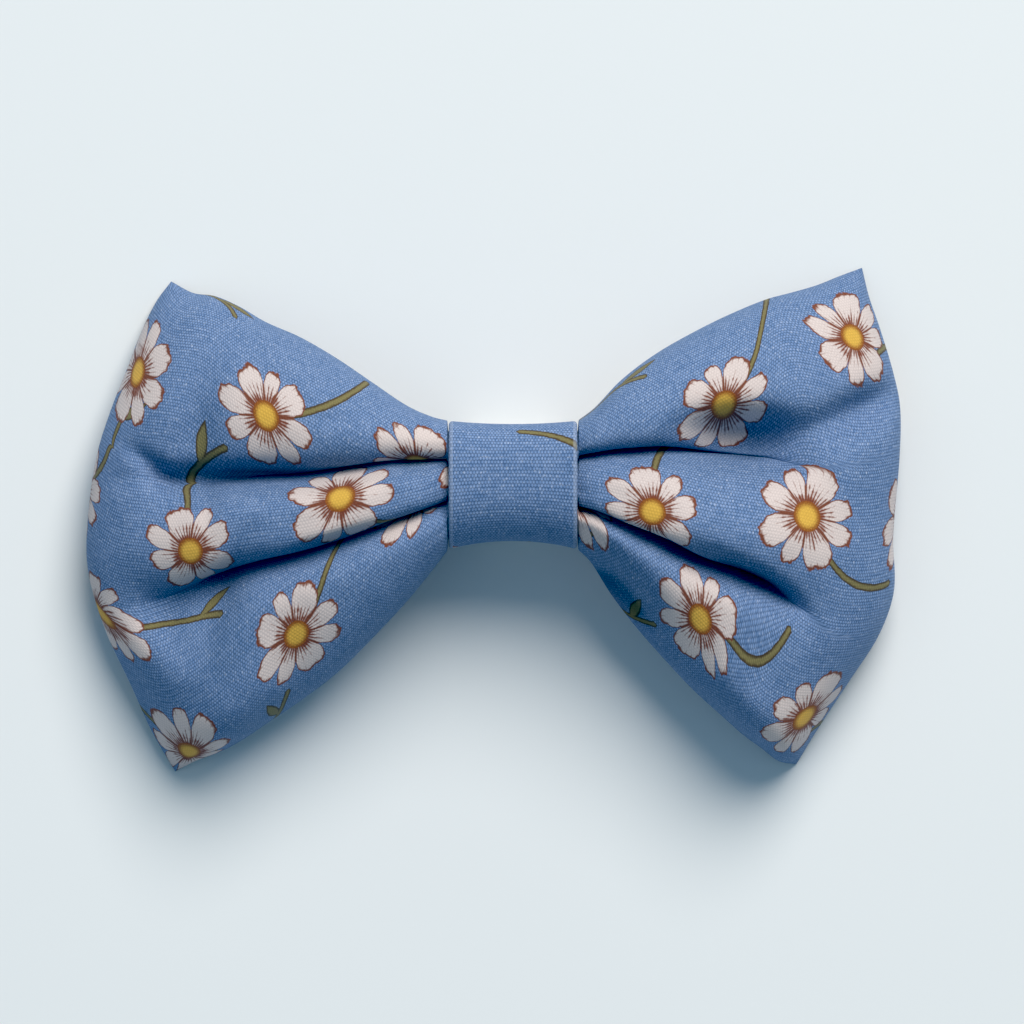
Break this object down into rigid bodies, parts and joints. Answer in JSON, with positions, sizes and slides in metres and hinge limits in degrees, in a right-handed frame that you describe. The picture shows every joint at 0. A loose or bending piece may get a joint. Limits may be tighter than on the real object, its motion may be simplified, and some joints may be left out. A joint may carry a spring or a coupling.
{
  "type": "pet bow tie",
  "caption": "Hollow pleated cloth bow with a folded cloth band round its knot and an elastic loop behind it that threads onto a pet's collar.",
  "frame": {"origin": "middle of the elastic loop's flat back, on the surface that the bow lies on, straight behind the knot", "axes": "+X across the bow to its right wing as seen from the front, +Y up the bow, +Z out of the front of the knot"},
  "size_m": [0.102, 0.0629, 0.0223],
  "materials": {
    "bow_cloth": "matt blue cotton poplin with a small printed flower pattern",
    "band_cloth": "matt blue cotton poplin",
    "loop_elastic": "white ribbed knitted elastic"
  },
  "bodies": {
    "root": {"bow": "bow_cloth", "knot_band": "band_cloth", "collar_loop": "loop_elastic"}
  },
  "joints": []
}
